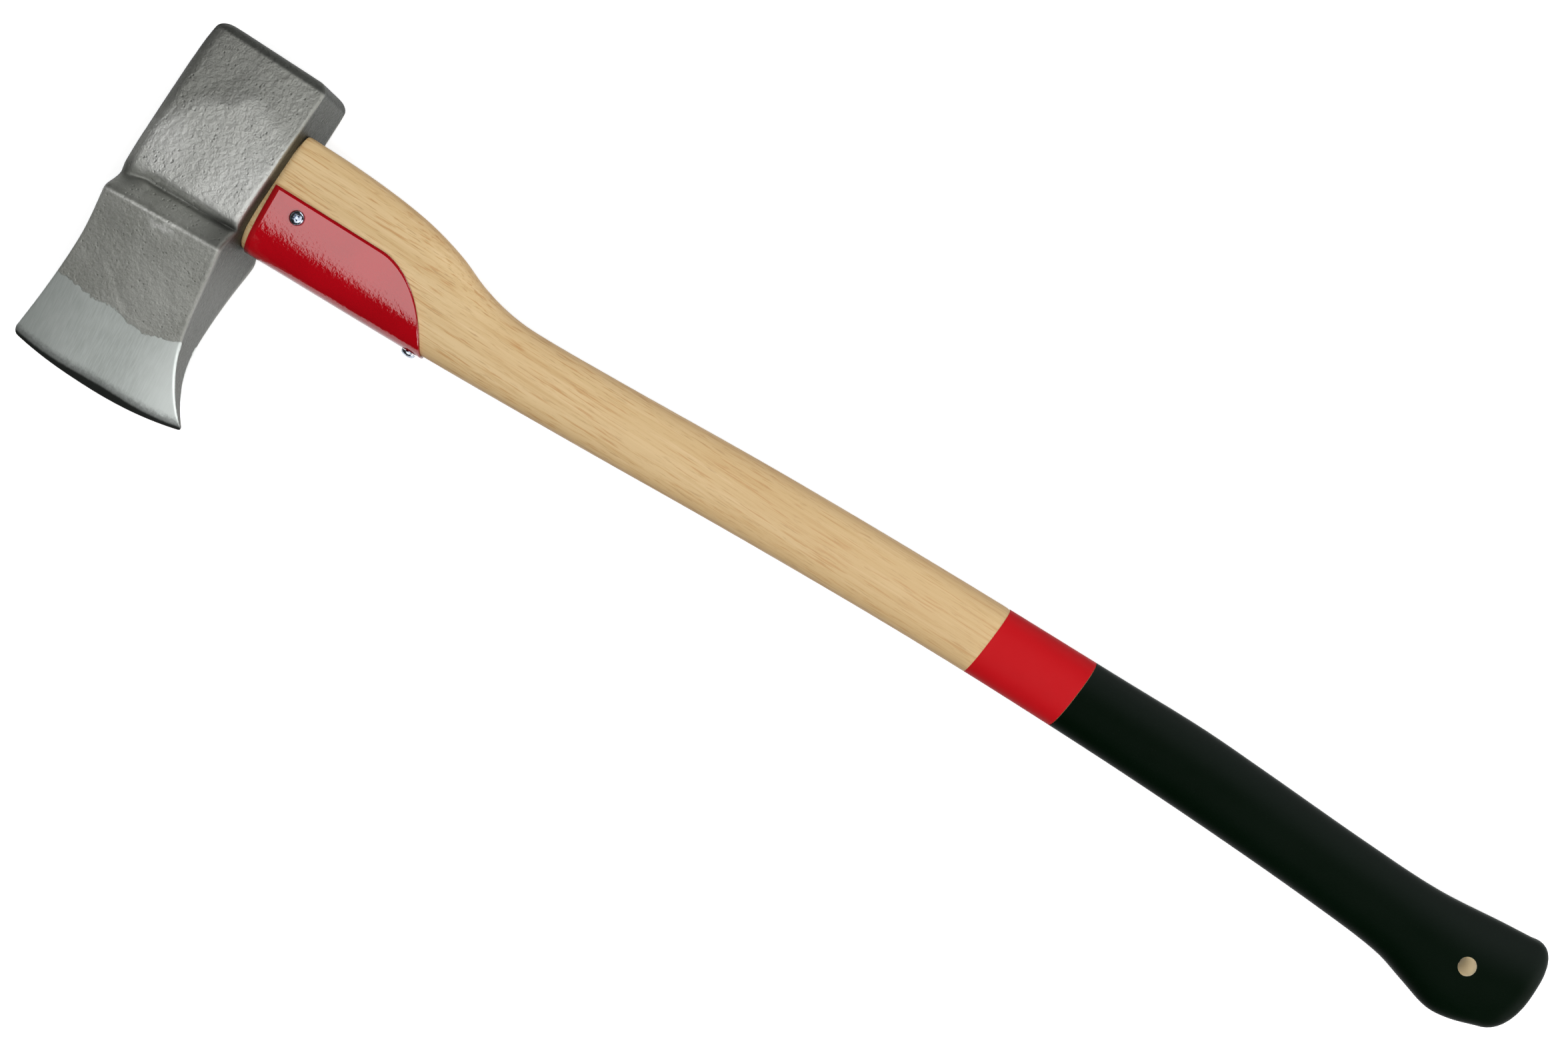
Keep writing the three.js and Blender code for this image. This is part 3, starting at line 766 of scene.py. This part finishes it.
def mark_shading(head, at):
    """Painted shade on the rim, corners, groove, ends of the step and flanks, but less on the flat of the
    poll's face.
    """
    x, y = at.x, at.y
    inside = np.minimum(POLL_FLAT[1] - np.abs(at.z), POLL_FLAT[0] - np.abs(x - POLL_FLAT_X))
    poll_face = smoothstep(0.0, 3.0, inside) * (y > POLL_Y - 0.1)
    rim = smoothstep(51.2, 53.0, y)
    corner = 0.55 * smoothstep(0.01, 0.10, 1 - at.depth) * (x < 0) * (y > -60)
    edges = np.maximum(rim, corner) * (1 - 0.9 * poll_face)
    step_ends = at.step * at.on_cheek * (0.62 * smoothstep(8, 28, x) + 0.45 * smoothstep(-16, -26, x))
    mark(head, "shade", np.clip(edges + 0.6 * at.groove + step_ends, 0, 1))
    # Painted shade: the flanks are painted near black, less on the flat of the poll's face; the mask also
    # calms their relief.
    shaded_flank = at.on_flank * (1 - 0.15 * smoothstep(-20, -60, y)) * (1 - 0.6 * poll_face)
    mark(head, "shaded_flank", np.clip(shaded_flank, 0, 1))


def mark_wear_and_highlights(head, at, patches):
    """Painted highlights on the lip of the groove and the crest of the ridge, a worn scar on the ridge, and
    cheeks partly rubbed and partly painted lighter.
    """
    x, y = at.x, at.y
    # Painted highlights: the lip of the groove and the crest of the ridge are painted bright; the scar is
    # wear.
    lip = bell((at.from_groove - LIP_OFF) / LIP_WIDTH) * at.groove_open * smoothstep(34, 20, x)
    crest = bell((at.straight - RIDGE_Y - 0.2) / 0.6) * (0.5 + 0.5 * smoothstep(34, 10, x))
    scar = bell((x - 1) / 9, (at.straight + 43) / 2.4) * (at.side > 0)
    wear_and_highlight = 0.9 * lip * (0.6 + 0.4 * patches) + crest * (0.70 + 0.30 * patches) + 0.9 * scar * patches
    mark(head, "wear_and_highlight", np.clip(wear_and_highlight * at.on_cheek, 0, 1))
    # Partly rubbed steel and partly painted light: paler over the boss and in two patches, one near the
    # underside below the eye and one towards the top side.
    low_patch = bell((x - 34) / 30, (y + 24) / 34)
    top_patch = 0.8 * bell((x + 21) / 12, (y + 12) / 16)
    rubbed_and_lit = 0.08 + 0.38 * at.boss + low_patch + top_patch
    mark(head, "rubbed_and_lit", np.clip(rubbed_and_lit, 0, 1) * at.on_cheek * at.behind_step)


def bevel_distance(x, straight):
    """Millimetres past the line where the honed bevel starts, below the ground blade."""
    deep = 2.0 + 2.3 * bell((x - 10) / 26)
    return EDGE_Y + deep - straight


# ---------------- eye and handle

EYE_UNDER = (31.5, 28.0, 12.0)  # x, half length, half width
EYE_TOP = (-33.0, 30.0, 14.0)
EYE_ROUNDNESS = 2.8
HANDLE_START = -34.0
MOUTH_X, MOUTH_END, MOUTH_GAP = 28.4, 31.9, 0.8  # where the eye opens out round the handle's shoulder
BACK = curve_through([
    (31, 32.3), (60, 32.3), (85, 31), (105, 28.4), (124, 23.6), (140, 17.5), (156, 13.6), (172, 12.3),
    (214, 14.2), (312, 20.3), (409, 24.2), (506, 26.6), (551, 27.7), (585, 26.9), (649, 24.7), (690, 24.5),
    (726, 28.3), (741, 29.8),
])
BELLY = curve_through([
    (31, -31), (131, -27.7), (215, -23.3), (312, -17.5), (410, -13.2), (507, -11.8), (585, -12.7),
    (650, -15.1), (682, -17.8), (700, -22.7), (716, -26.9), (728, -25.6), (741, -21.3),
])
HALF_WIDTH = curve_through([(31, 13.2), (110, 13.4), (180, 13), (550, 13.3), (650, 12.8), (741, 12)])
ROUNDNESS = curve_through([(31, 3), (130, 2.5), (300, 2.3), (741, 2.4)])
BACK_ROUNDNESS = curve_through([(31, 6.0), (60, 4.6), (100, 3.0), (150, 2.45), (300, 2.3), (741, 2.4)])
BUTT_X, BUTT_LENGTH, BUTT_MIDDLE_Y, BUTT_ROUNDNESS = 741.0, 14.5, 8.2, 2.45
COAT, GAP = 0.5, 0.3
BAND_X, GRIP_X = 439.0, 488.3  # where the dip coats start, on the line y = DIP_Y
DIP_LEAN, DIP_Y = math.radians(4.5), 6.0
HANG_HOLE = (717.7, 0.6, 4.75)  # x, y, radius
KERF_DEPTH = 44.0
HANDLE_AROUND = 96
BIG = 200.0  # well outside the maul's cross section
PAST_BUTT = BUTT_X + 3 * BIG


def oval(x, centre, half_length, half_width, roundness, back_roundness=None):
    """Superellipse ring in the YZ plane at x, which may be squarer on its +Y half."""
    angle = all_round(HANDLE_AROUND)
    c, s = np.cos(angle), np.sin(angle)
    power = 2 / np.where(c > 0, back_roundness or roundness, roundness)
    y = centre + half_length * np.sign(c) * np.abs(c) ** power
    z = half_width * np.sign(s) * np.abs(s) ** power
    return np.column_stack([np.full(HANDLE_AROUND, x), y, z])


def eye_ring(x, inset):
    t = (x - EYE_TOP[0]) / (EYE_UNDER[0] - EYE_TOP[0])
    half_length = EYE_TOP[1] + (EYE_UNDER[1] - EYE_TOP[1]) * t - inset
    half_width = EYE_TOP[2] + (EYE_UNDER[2] - EYE_TOP[2]) * t - inset
    return oval(x, 0.0, half_length, half_width, EYE_ROUNDNESS)


def eye_cutter():
    """The eye: an oval, tapered hole whose mouth opens out round the shoulder of the handle."""
    rings = [eye_ring(x, 0.0) for x in np.linspace(EYE_TOP[0] - 5, MOUTH_X, 12)]
    rings += [handle_ring(MOUTH_END, -MOUTH_GAP), handle_ring(MOUTH_END + 5, -2 * MOUTH_GAP)]
    return make_object("eye_cutter", *loft(rings))


def wood_section(x, inset):
    """Centre in Y, half depth, half width and roundness of the handle at x, less an inset."""
    back, belly = float(BACK(x)), float(BELLY(x))
    return (back + belly) / 2, (back - belly) / 2 - inset, float(HALF_WIDTH(x)) - inset, float(ROUNDNESS(x))


def handle_ring(x, inset):
    centre, half_depth, half_width, roundness = wood_section(x, inset)
    past = min(1.0, max(0.0, (x - BUTT_X) / (BUTT_LENGTH - inset)))
    closing = (1 - past**BUTT_ROUNDNESS) ** (1 / BUTT_ROUNDNESS)
    centre = centre + (BUTT_MIDDLE_Y - centre) * past
    return oval(x, centre, half_depth * closing, half_width * closing, roundness, float(BACK_ROUNDNESS(x)))


def handle_stations(from_x, to_x, inset):
    """Every 3 mm where the outline turns, every 6 mm along the shank, and closer where the butt closes."""
    xs, x = [], from_x
    while x < min(to_x, BUTT_X - 2):
        xs.append(x)
        x += 3.0 if x < 180 or x > 640 else 6.0
    if to_x > BUTT_X:
        turns = np.linspace(0, math.pi / 2, 12)[:-1]
        xs += [BUTT_X + math.sin(t) * (BUTT_LENGTH - inset) for t in turns]
        xs.append(BUTT_X + 0.998 * (BUTT_LENGTH - inset))
    else:
        xs.append(to_x)
    return xs


def handle_solid(name, inset, from_x, to_x):
    rings = [handle_ring(x, inset) for x in handle_stations(from_x, to_x, inset)]
    return make_object(name, *loft(rings), 40)


def cylinder_solid(name, radius, from_z, to_z, centre=(0, 0)):
    rings = [circle(radius, z, all_round(64), centre) for z in (from_z, to_z)]
    return make_object(name, *loft(rings))


def dip_slab(name, from_x, to_x):
    """Block whose faces at from_x and to_x lean like the rims of the dip coats."""
    points = []
    for x in (from_x, to_x):
        for y, z in ((-BIG, -BIG), (BIG, -BIG), (BIG, BIG), (-BIG, BIG)):
            points.append((x + (y - DIP_Y) * math.tan(DIP_LEAN), y, z))
    return make_object(name, points, BOX_FACES)


def hang_hole(name):
    return cylinder_solid(name, HANG_HOLE[2], -BIG, BIG, HANG_HOLE[:2])


def make_handle():
    """The stave from the top of the eye to the butt, its tenon stepping out to the shoulder."""
    tenon = [eye_ring(HANDLE_START, GAP + 0.6)]
    tenon += [eye_ring(x, GAP) for x in np.linspace(HANDLE_START + 0.6, MOUTH_X, 20)]
    body = [handle_ring(MOUTH_END - 0.6, 0.25), handle_ring(MOUTH_END + 0.2, 0.05)]
    for x in handle_stations(MOUTH_END + 1.5, PAST_BUTT, COAT + GAP):
        sunk = (COAT + GAP) * float(smoothstep(BAND_X - 0.2, BAND_X, x))
        body.append(handle_ring(x, sunk))
    handle = make_object("handle_stave", *loft(tenon + body), 40)
    cut(handle, hang_hole("hole"), wedge_solid("kerf", KERF_DEPTH, GAP), ring_solid("ring_seat", GAP))
    shade(handle, 35)
    p = vertices_of(handle)
    # Painted shade on the back and belly edges.
    widths = np.maximum(HALF_WIDTH(p[:, 0]), 1.0)
    mark(handle, "edge", 1 - smoothstep(0.25, 0.95, np.abs(p[:, 2]) / widths))
    # Painted light in the bore of the hang hole.
    from_hole = np.hypot(p[:, 0] - HANG_HOLE[0], p[:, 1] - HANG_HOLE[1])
    mark(handle, "bore_light", from_hole < HANG_HOLE[2] + 0.2)
    finish_piece(handle, "handle", hickory())


def dip_coat(name, from_x, to_x, *holes):
    """A skin over the wood between two leaning rims."""
    coat = handle_solid(name, 0.0, from_x - 12, to_x + 12)
    cut(coat, handle_solid("core", COAT, from_x - 20, to_x + 20), *holes)
    combine(coat, dip_slab("slab", from_x + GAP, to_x), "INTERSECT")
    shade(coat, 35)
    return coat


def make_grip():
    grip = dip_coat("grip_dip_coat", GRIP_X, PAST_BUTT, hang_hole("hole"))
    # Painted sheen towards the handle's back and a painted highlight along its back edge.
    p = vertices_of(grip)
    back, belly = BACK(p[:, 0]), BELLY(p[:, 0])
    share = (p[:, 1] - (back + belly) / 2) / ((back - belly) / 2)
    mark(grip, "painted_back_sheen", smoothstep(0.0, 0.9, share) + smoothstep(0.93, 1.01, share))
    coat = lacquer("black_lacquer", black_coat, rough=0.42, peel=0.25, shine=0.015, sheen=0.030)
    finish_piece(grip, "grip_coat", coat)


def make_band():
    coat = lacquer("red_lacquer", red_coat, rough=0.50, peel=0.2, shine=0.06, sheen=0.02)
    finish_piece(dip_coat("red_dip_band", BAND_X, GRIP_X), "red_band", coat)


# ---------------- wedges

WEDGE = {"length": 42.0, "half_width": 26.0, "top": 5.4, "tip": 1.4}
RING = {"depth": 14.0, "outer_top": 9.0, "outer_tip": 8.0, "inner_top": 6.6, "inner_tip": 7.5}


def top_of(grow):
    """Where a wedge starts; a cutter that makes room for it starts above the handle."""
    return HANDLE_START - (5 if grow else 0)


def wedge_solid(name, length, grow):
    """A tapered plate across the eye; a cutter also runs out through both sides of the tenon."""
    taper = (WEDGE["top"] - WEDGE["tip"]) / WEDGE["length"]
    width = WEDGE["half_width"] + (BIG if grow else 0)
    points = []
    for x in (top_of(grow), HANDLE_START + length):
        half = (WEDGE["top"] - taper * (x - HANDLE_START)) / 2 + grow
        points += [(x, width, half), (x, -width, half), (x, -width, -half), (x, width, -half)]
    return make_object(name, points, BOX_FACES)


def ring_solid(name, grow):
    """A tapered tube round the eye's axis."""
    top, tip = top_of(grow), HANDLE_START + RING["depth"] + grow
    profile = [
        (top, RING["inner_top"] - grow), (top, RING["outer_top"] + grow), (tip, RING["outer_tip"] + grow),
        (tip, RING["inner_tip"] - grow),
    ]
    count = 64
    points, faces = [], []
    for x, r in profile:
        points += [(x, r * math.cos(a), r * math.sin(a)) for a in all_round(count)]
    for i in range(4):
        for k in range(count):
            n = (k + 1) % count
            j = (i + 1) % 4
            faces.append((i * count + k, j * count + k, j * count + n, i * count + n))
    return make_object(name, points, faces)


def make_wedges():
    wedge = wedge_solid("wooden_wedge_piece", WEDGE["length"], 0)
    cut(wedge, ring_solid("ring_seat", GAP))
    apply_modifier(wedge, "BEVEL", width=0.25, segments=2, limit_method="ANGLE")
    shade(wedge, 40)
    finish_piece(wedge, "wooden_wedge", hickory("wedge_wood"))
    ring = ring_solid("ring_wedge_piece", 0)
    apply_modifier(ring, "BEVEL", width=0.3, segments=3, limit_method="ANGLE")
    shade(ring, 40)
    steel = bright_metal("wedge_steel", (0.34, 0.34, 0.35), (0.20, 0.19, 0.18), 0.38)
    finish_piece(ring, "ring_wedge", steel)


# ---------------- guard and screws

GUARD_START, GUARD_SHEET, WING_Y = 32.0, 1.0, 3.9
GUARD_SLANT, SLANT_REACH = 2.2, 30.0  # the guard starts this much later at the belly than at its wings
WING_END, GUARD_TIP = (91.7, 4.9), (133.0, -28.0)
GUARD_CURVE = ((105.0, 5.4), (123.0, -6.0))
BELLY_SCREW = (126.5, 16.0)  # x, length
SCREW_HEAD, SCREW_HEIGHT, SCREW_SHANK = 3.75, 2.4, 1.75
THREAD_PITCH, THREAD_DEPTH = 1.6, 0.42
GUARD_AROUND = 61


def guard_top(count=40):
    """The edge of a wing in the side view, from the head end to the tip: straight, then a curve."""
    t = np.linspace(0, 1, count)[:, None]
    a, b, c, d = (np.array(q) for q in (WING_END, *GUARD_CURVE, GUARD_TIP))
    curve = (1 - t) ** 3 * a + 3 * (1 - t) ** 2 * t * b + 3 * (1 - t) * t**2 * c + t**3 * d
    straight = np.linspace((GUARD_START, WING_Y), WING_END, 22, endpoint=False)
    return np.concatenate([straight, curve])


def side_z(x, y, grow):
    """Half width of the handle at x, y, or of a skin that stands out from it by grow."""
    centre, depth, width, power = wood_section(x, -grow)
    share = np.clip(np.abs((y - centre) / depth), 0, 1)
    return width * (1 - share**power) ** (1 / power)


def guard_ring(x, y_edge):
    """The sheet's middle surface at x, in even steps from one wing's edge to the other's."""
    grow = GAP + GUARD_SHEET / 2
    centre, depth, _, _ = wood_section(x, -grow)
    bottom = centre - depth
    y = np.linspace(bottom, min(max(y_edge, bottom + 0.02), centre + depth), 400)
    z = side_z(x, y, grow)
    z[0] = 0.0
    length = np.concatenate([[0], np.cumsum(np.hypot(np.diff(y), np.diff(z)))])
    steps = np.linspace(length[-1], 0, (GUARD_AROUND + 1) // 2)
    y, z = np.interp(steps, length, y), np.interp(steps, length, z)
    lag = GUARD_SLANT * (1 - np.abs(np.linspace(-1, 1, GUARD_AROUND)))
    run = max(0.0, 1 - (x - GUARD_START) / SLANT_REACH)
    return np.column_stack([x + lag * run, np.concatenate([y, y[-2::-1]]), np.concatenate([z, -z[-2::-1]])])


def make_guard():
    """Sheet bent round the belly: a grid of rings, given thickness and rounded edges."""
    top = guard_top()
    points = np.concatenate([guard_ring(x, y_edge) for x, y_edge in top])
    faces = []
    for r in range(len(top) - 1):
        for k in range(GUARD_AROUND - 1):
            a = r * GUARD_AROUND + k
            faces.append((a, a + 1, a + GUARD_AROUND + 1, a + GUARD_AROUND))
    guard = make_object("guard_sheet", points, faces)
    apply_modifier(guard, "SOLIDIFY", thickness=GUARD_SHEET, offset=0.0, use_even_offset=True)
    apply_modifier(guard, "BEVEL", width=0.28, segments=3, limit_method="ANGLE", angle_limit=math.radians(50))
    for _, length, matrix in screw_places():
        hole = cylinder_solid("hole", SCREW_SHANK + GAP, -length, 1.0)
        hole.data.transform(matrix)
        cut(guard, hole)
    shade(guard, 40)
    # Mask of the sheet's edges, which the enamel rounds, roughens and paints darker as shade.
    mark(guard, "rim", 1 - smoothstep(0.15, 0.9, from_guard_edge(vertices_of(guard), top)))
    finish_piece(guard, "handle_guard", red_enamel())


def from_guard_edge(p, top):
    """Distance in the side view from each point to the guard's upper end or the edge of its wings."""
    x, y = p[:, 0], p[:, 1]
    distance = np.abs(x - GUARD_START - GUARD_SLANT * smoothstep(2, -30, y))
    for edge_x, edge_y in np.concatenate([np.linspace(a, b, 6) for a, b in zip(top[:-1], top[1:])]):
        distance = np.minimum(distance, np.hypot(x - edge_x, y - edge_y))
    return distance


def screw_places():
    """Each screw's name, length and place: its shank runs down -Z from a head that stands on z = 0."""
    seat = 2 * GAP + GUARD_SHEET
    x, y, length = WING_SCREW
    wing_z = float(side_z(x, y, 0.0)) + seat
    belly_x, belly_length = BELLY_SCREW
    upper = Matrix.Translation((x, y, wing_z))
    lower = Matrix.Translation((x, y, -wing_z)) @ Matrix.Rotation(math.pi, 4, "X")
    under = (belly_x, float(BELLY(belly_x)) - seat, 0)
    belly = Matrix.Translation(under) @ Matrix.Rotation(math.pi / 2, 4, "X")
    return [
        ("guard_screw_upper", length, upper),
        ("guard_screw_lower", length, lower),
        ("guard_screw_belly", belly_length, belly),
    ]


# The screw head from its seat to its top: height, and radius as a share of the head's.
SCREW_PROFILE = [
    (0.0, SCREW_SHANK / SCREW_HEAD), (0.0, 0.96), (0.12, 1.0), (0.7, 0.995), (1.25, 0.94), (1.75, 0.82),
    (2.1, 0.64), (2.3, 0.42), (SCREW_HEIGHT, 0.12),
]


def screw_solid(name, length):
    """Pan head, cross recess and a coarse thread that runs out at the tip."""
    angle = all_round(48)
    rings = []
    for z in np.linspace(-length, -0.6, 90):
        taper = min(1.0, 0.12 + (z + length) / 3.2)
        phase = (z / THREAD_PITCH - angle / (2 * math.pi)) % 1.0
        crest = bell((phase - 0.5) / 0.2)
        rings.append(circle((SCREW_SHANK - THREAD_DEPTH * (1 - crest)) * taper, z, angle))
    rings += [circle(SCREW_HEAD * share, z, angle) for z, share in SCREW_PROFILE]
    screw = make_object(name, *loft(rings))
    cut(screw, recess_blade(math.pi / 4), recess_blade(-math.pi / 4))
    shade(screw, 38)
    return screw


def recess_blade(turn):
    """One blade of the cross recess, narrowing towards its bottom."""
    points = []
    for z, long, wide in ((SCREW_HEIGHT - 1.55, 0.75, 0.28), (SCREW_HEIGHT + 0.5, 2.5, 0.5)):
        points += [(long, wide, z), (-long, wide, z), (-long, -wide, z), (long, -wide, z)]
    blade = make_object("recess", points, BOX_FACES)
    blade.data.transform(Matrix.Rotation(turn, 4, "Z"))
    return blade


def make_screws():
    zinc = bright_metal("zinc_plated", (0.42, 0.47, 0.55), (0.16, 0.18, 0.22), 0.12)
    for name, length, matrix in screw_places():
        screw = screw_solid(name + "_piece", length)
        screw.data.transform(matrix)
        finish_piece(screw, name, zinc)


# ---------------- studio

# Lights in the picture's own frame: across, up and height above the maul, then the size and the power.
SOFTBOX = {"at": (0.20, -0.28, 1.30), "size": (1.88, 1.74), "power": 27.0}
SIDE_FILL = {"at": (1.05, -0.80, 0.35), "size": (0.9, 0.6), "power": 9.0}
RIM_LIGHT = {"at": (0.75, 1.15, 0.30), "size": (1.0, 0.5), "power": 6.0}
SURROUND = 0.03
FLOOR_REACH, HORIZON = 3.0, 20.0  # metres
FLOOR_GLOW = 0.5
GLOW_FROM, GLOW_FULL = 0.6, 1.8  # metres from the maul, where the glow starts to rise and where it is full
CORNER_SIGNS = ((-1, -1), (1, -1), (1, 1), (-1, 1))


def area_light(name, size, power, matrix):
    data = bpy.data.lights.new(name, "AREA")
    data.shape = "RECTANGLE"
    data.size, data.size_y = size
    data.energy = power
    light = bpy.data.objects.new(name, data)
    bpy.context.scene.collection.objects.link(light)
    light.matrix_world = matrix


def make_studio():
    """A soft box overhead in line with the picture, two weak lights, a dim surround and a pale floor."""
    picture = TILT @ Matrix.Rotation(VIEW_TURN, 4, "Z")
    over = Matrix.Translation(place((VIEW_POINT[0], VIEW_POINT[1], 0.0))) @ picture
    area_light("softbox", SOFTBOX["size"], SOFTBOX["power"], over @ Matrix.Translation(SOFTBOX["at"]))
    for name, light in (("side_fill", SIDE_FILL), ("rim_light", RIM_LIGHT)):
        at = Vector(light["at"])
        aim = (-at).to_track_quat("-Z", "Y").to_matrix().to_4x4()
        area_light(name, light["size"], light["power"], over @ Matrix.Translation(at) @ aim)
    world = bpy.data.worlds.new("surround")
    world.use_nodes = True
    world.node_tree.nodes["Background"].inputs["Color"].default_value = (SURROUND, SURROUND, SURROUND, 1)
    bpy.context.scene.world = world
    make_floor()
    bpy.context.scene.view_settings.view_transform = "Standard"


def make_floor():
    """A pale floor, and round it, for the camera only, more floor and a wall as pale as the floor."""
    near = [(sx * FLOOR_REACH, sy * FLOOR_REACH, 0) for sx, sy in CORNER_SIGNS]
    far = [(sx * HORIZON, sy * HORIZON, 0) for sx, sy in CORNER_SIGNS]
    wall = [(x, y, HORIZON) for x, y, _ in far]
    material = pale_floor()
    floors = (("floor", near, [(0, 1, 2, 3)]), ("floor_beyond", wall + far + near, grid_faces(3, 4)))
    for name, corners, faces in floors:
        floor = bpy.data.objects.new(name, bpy.data.meshes.new(name))
        floor.data.from_pydata(corners, [], faces)
        floor.data.materials.append(material)
        bpy.context.scene.collection.objects.link(floor)
        floor.visible_diffuse = False
        floor.visible_glossy = name == "floor"


make_head()
make_handle()
make_band()
make_grip()
make_wedges()
make_guard()
make_screws()
make_studio()
